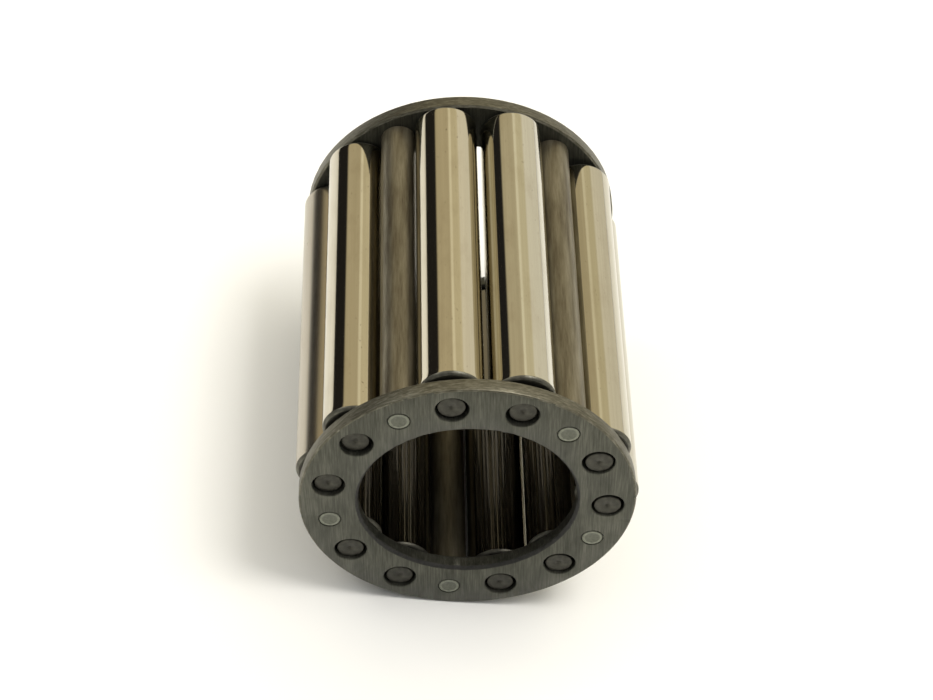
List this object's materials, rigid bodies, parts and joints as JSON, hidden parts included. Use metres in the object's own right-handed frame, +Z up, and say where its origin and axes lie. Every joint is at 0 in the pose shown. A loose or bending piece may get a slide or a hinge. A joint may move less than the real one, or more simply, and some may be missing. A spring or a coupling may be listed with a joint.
{
  "type": "needle roller bearing",
  "caption": "Caged needle roller bearing with no races: pairs of trunnioned rollers turn between two flat end rings joined by riveted stays.",
  "frame": {"origin": "middle of the bearing, on its axis, half way between the two ring faces", "axes": "+Y along the bearing's axis, from the front ring to the rear ring; +Z up through the middle of one roller pair; +X to the right seen from the front"},
  "size_m": [0.0508, 0.061, 0.0495],
  "materials": {
    "ring_steel": "ground flat, dark grey, with fine straight grinding marks and a worn rim",
    "roller_steel": "hardened, ground and polished, with light stains and fine lengthwise streaks",
    "stay_steel": "dull bare steel, mottled brown-grey"
  },
  "bodies": {
    "cage": {"front_ring": "ring_steel", "rear_ring": "ring_steel", "stay_1": "stay_steel", "stay_2": "stay_steel", "stay_3": "stay_steel", "stay_4": "stay_steel", "stay_5": "stay_steel"},
    "roller_01": {"roller_01": "roller_steel"},
    "roller_02": {"roller_02": "roller_steel"},
    "roller_03": {"roller_03": "roller_steel"},
    "roller_04": {"roller_04": "roller_steel"},
    "roller_05": {"roller_05": "roller_steel"},
    "roller_06": {"roller_06": "roller_steel"},
    "roller_07": {"roller_07": "roller_steel"},
    "roller_08": {"roller_08": "roller_steel"},
    "roller_09": {"roller_09": "roller_steel"},
    "roller_10": {"roller_10": "roller_steel"}
  },
  "joints": [
    {"name": "roller_01_spin", "type": "hinge", "parent": "cage", "child": "roller_01", "pos_m": [-0.00509, 0, 0.02], "axis": [0, 1, 0], "continuous": true},
    {"name": "roller_02_spin", "type": "hinge", "parent": "cage", "child": "roller_02", "pos_m": [0.00509, 0, 0.02], "axis": [0, 1, 0], "continuous": true},
    {"name": "roller_03_spin", "type": "hinge", "parent": "cage", "child": "roller_03", "pos_m": [0.01764, 0, 0.01071], "axis": [0, 1, 0], "continuous": true},
    {"name": "roller_04_spin", "type": "hinge", "parent": "cage", "child": "roller_04", "pos_m": [0.02061, 0, 0.00109], "axis": [0, 1, 0], "continuous": true},
    {"name": "roller_05_spin", "type": "hinge", "parent": "cage", "child": "roller_05", "pos_m": [0.01582, 0, -0.01358], "axis": [0, 1, 0], "continuous": true},
    {"name": "roller_06_spin", "type": "hinge", "parent": "cage", "child": "roller_06", "pos_m": [0.00771, 0, -0.01947], "axis": [0, 1, 0], "continuous": true},
    {"name": "roller_07_spin", "type": "hinge", "parent": "cage", "child": "roller_07", "pos_m": [-0.00771, 0, -0.01947], "axis": [0, 1, 0], "continuous": true},
    {"name": "roller_08_spin", "type": "hinge", "parent": "cage", "child": "roller_08", "pos_m": [-0.01582, 0, -0.01358], "axis": [0, 1, 0], "continuous": true},
    {"name": "roller_09_spin", "type": "hinge", "parent": "cage", "child": "roller_09", "pos_m": [-0.02061, 0, 0.00109], "axis": [0, 1, 0], "continuous": true},
    {"name": "roller_10_spin", "type": "hinge", "parent": "cage", "child": "roller_10", "pos_m": [-0.01764, 0, 0.01071], "axis": [0, 1, 0], "continuous": true}
  ]
}
